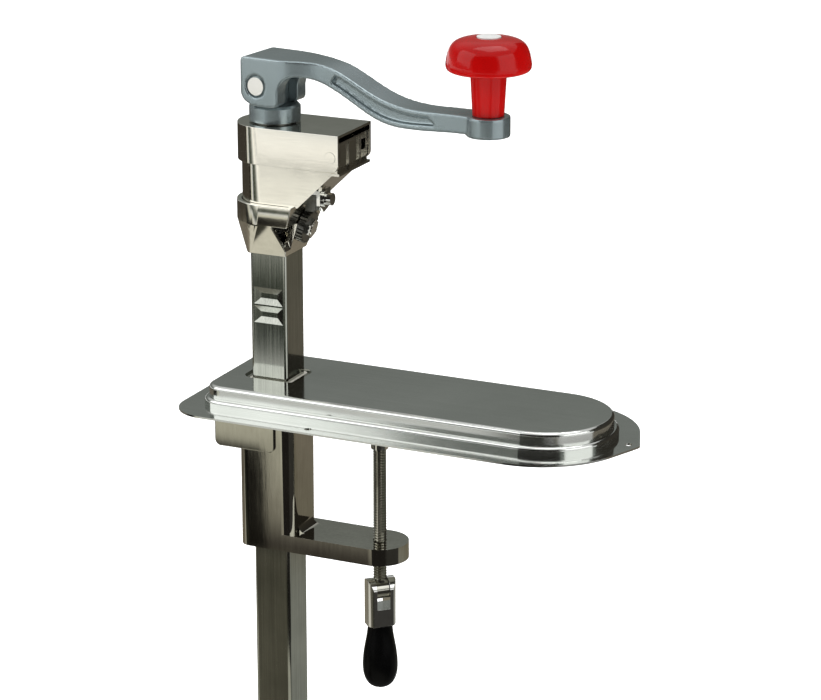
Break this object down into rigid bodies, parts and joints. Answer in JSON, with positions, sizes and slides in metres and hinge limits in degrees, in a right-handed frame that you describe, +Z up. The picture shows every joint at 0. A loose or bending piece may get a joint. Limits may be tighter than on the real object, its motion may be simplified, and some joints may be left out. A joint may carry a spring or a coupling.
{
  "type": "manual can opener",
  "caption": "Bench mounted manual can opener with hinged crank and knob, geared feed wheel, cutter, sliding square bar, drawn base plate and table clamp.",
  "frame": {"origin": "underside plane of the base flange, which rests on the table, on the axis of the square bar", "axes": "+Z up along the bar, +X along the base plate from the bar towards the can, +Y across the plate to the back"},
  "size_m": [0.2905, 0.124, 0.5235],
  "materials": {
    "nickel_sheet": "satin nickel plate with a soft mirror shine",
    "head_cast": "plated casting, satin with rounded edges",
    "base_steel": "drawn stainless sheet, satin mirror",
    "bar_steel": "plated square tube with fine lengthwise streaks",
    "frame_plate": "plated clamp frame, satin",
    "crank_cast": "satin cast metal, blue grey",
    "bright_steel": "bright plated steel",
    "hard_steel": "dark hardened steel",
    "bronze": "sintered bronze, oiled",
    "guide_nylon": "natural nylon",
    "plug_black": "black moulded plastic",
    "knob_red": "polished red plastic",
    "grip_black": "black dipped plastic, half gloss"
  },
  "bodies": {
    "base": {"base_plate": "base_steel", "clamp_sleeve": "frame_plate", "clamp_arm": "frame_plate", "sleeve_strap": "frame_plate", "upper_guide": "guide_nylon", "lower_guide": "guide_nylon"},
    "head_bar": {"bar_tube": "bar_steel", "bar_tang": "hard_steel", "bar_plug": "plug_black", "head_bracket": "head_cast", "lower_casing": "nickel_sheet", "slant_sheet": "nickel_sheet", "end_panel": "nickel_sheet", "top_cap": "nickel_sheet", "front_rivet": "bright_steel", "back_rivet": "bright_steel", "spindle_housing": "hard_steel", "lower_bush": "bronze", "upper_bush": "bronze", "thrust_washer": "hard_steel", "feed_bush": "bronze", "blade_holder": "hard_steel", "cutter_blade": "bright_steel", "blade_washer": "bright_steel", "blade_bolt": "bright_steel"},
    "spindle": {"spindle_shaft": "bright_steel", "spindle_collar": "crank_cast", "drive_gear": "hard_steel", "drive_pin": "bright_steel"},
    "feed": {"feed_shaft": "bright_steel", "driven_gear": "hard_steel", "feed_wheel": "hard_steel", "feed_nut": "bright_steel"},
    "crank": {"crank_arm": "crank_cast", "crank_cross_pin": "bright_steel", "knob_bolt": "bright_steel"},
    "knob_body": {"knob": "knob_red"},
    "pad": {"clamp_pad": "bright_steel"},
    "screw": {"clamp_screw": "bright_steel"},
    "handle": {"handle_yoke": "bright_steel", "handle_pin": "bright_steel", "handle_grip": "grip_black"}
  },
  "joints": [
    {"name": "bar_slide", "type": "slide", "parent": "base", "child": "head_bar", "axis": [0, 0, 1], "range_m": [-0.075, 0.15]},
    {"name": "spindle_turn", "type": "hinge", "parent": "head_bar", "child": "spindle", "pos_m": [0, 0, 0.15], "axis": [0, 0, 1], "continuous": true},
    {"name": "feed_turn", "type": "hinge", "parent": "head_bar", "child": "feed", "pos_m": [0, 0, 0.1185], "axis": [0.9659, 0, -0.2588], "continuous": true},
    {"name": "crank_fold", "type": "hinge", "parent": "spindle", "child": "crank", "pos_m": [-0.00338, 0.00038, 0.2014], "axis": [-0.1132, -0.9936, 0], "range_deg": [0, 85]},
    {"name": "knob_turn", "type": "hinge", "parent": "crank", "child": "knob_body", "pos_m": [0.15003, -0.01709, 0.22], "axis": [0, 0, 1], "continuous": true},
    {"name": "pad_slide", "type": "slide", "parent": "base", "child": "pad", "axis": [0, 0, 1], "range_m": [-0.05, 0.0117]},
    {"name": "screw_turn", "type": "hinge", "parent": "pad", "child": "screw", "pos_m": [0.0704, 0, -0.02], "axis": [0, 0, 1], "range_deg": [-10296, 2409.3]},
    {"name": "handle_swing", "type": "hinge", "parent": "screw", "child": "handle", "pos_m": [0.0704, 0, -0.119], "axis": [0.7071, 0.7071, 0], "range_deg": [-50, 50]}
  ],
  "couplings": [
    {"joint": "feed_turn", "follows": "spindle_turn", "ratio": -0.875},
    {"joint": "screw_turn", "follows": "pad_slide", "rad_per_m": 3590.4}
  ]
}
